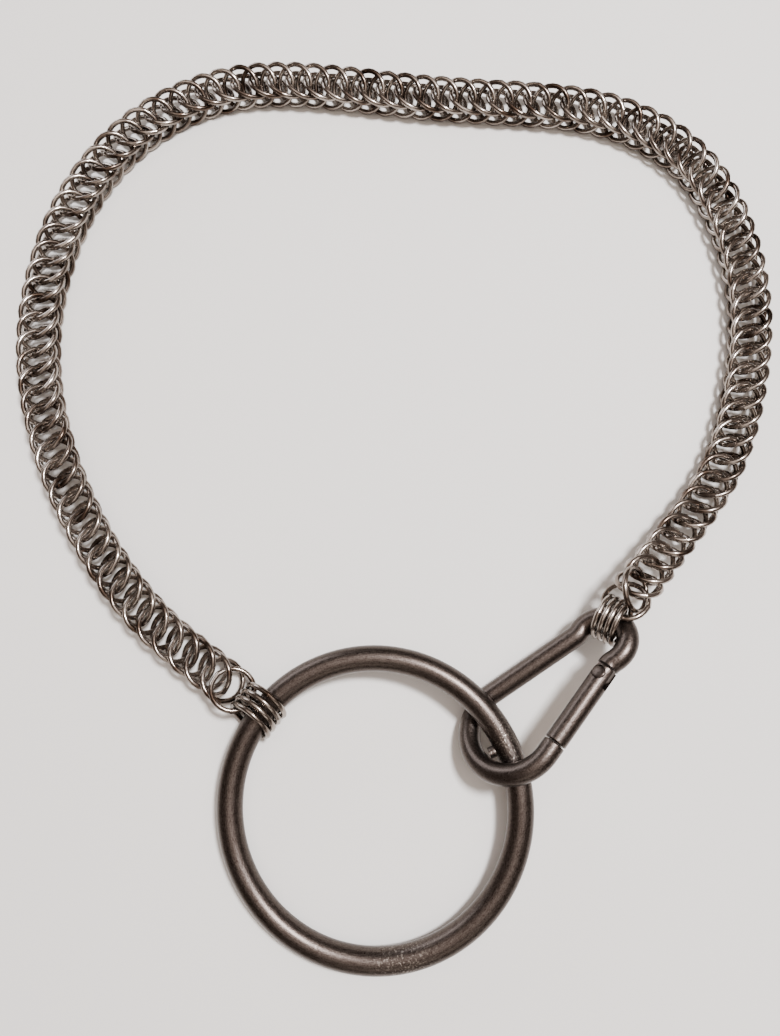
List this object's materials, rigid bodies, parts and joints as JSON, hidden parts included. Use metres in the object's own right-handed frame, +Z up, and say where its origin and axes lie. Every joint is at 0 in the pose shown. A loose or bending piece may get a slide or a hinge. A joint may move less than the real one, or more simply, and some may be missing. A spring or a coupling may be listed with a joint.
{
  "type": "chainmail necklace",
  "caption": "Ring-woven steel necklace that closes with a large round ring and a hinged spring hook, lying flat.",
  "frame": {"origin": "centre of the bounding box's underside, on the surface that the necklace lies on", "axes": "+Z up from that surface; +Y from the large round ring towards the far side of the neck loop; +X towards the side that the hook is on"},
  "size_m": [0.1942, 0.2304, 0.0193],
  "materials": {
    "satin_steel": "tumbled satin stainless steel with fine scratches and pits",
    "polished_steel": "bright drawn stainless wire"
  },
  "bodies": {
    "necklace": {"o_ring": "satin_steel", "hook_body": "satin_steel", "hook_rivet": "satin_steel", "ring_jump_1": "polished_steel", "ring_jump_2": "polished_steel", "ring_jump_3": "polished_steel", "ring_jump_4": "polished_steel", "hook_jump_1": "polished_steel", "hook_jump_2": "polished_steel", "hook_jump_3": "polished_steel", "hook_jump_4": "polished_steel", "chain_weave": "polished_steel"},
    "gate": {"hook_gate": "satin_steel"}
  },
  "joints": [
    {"name": "gate_hinge", "type": "hinge", "parent": "necklace", "child": "gate", "pos_m": [0.04592, -0.05042, 0.01505], "axis": [0.4845, -0.4216, -0.7665], "range_deg": [0, 26], "stiffness_Nm_per_rad": 0.04, "springref_deg": -20.05}
  ]
}
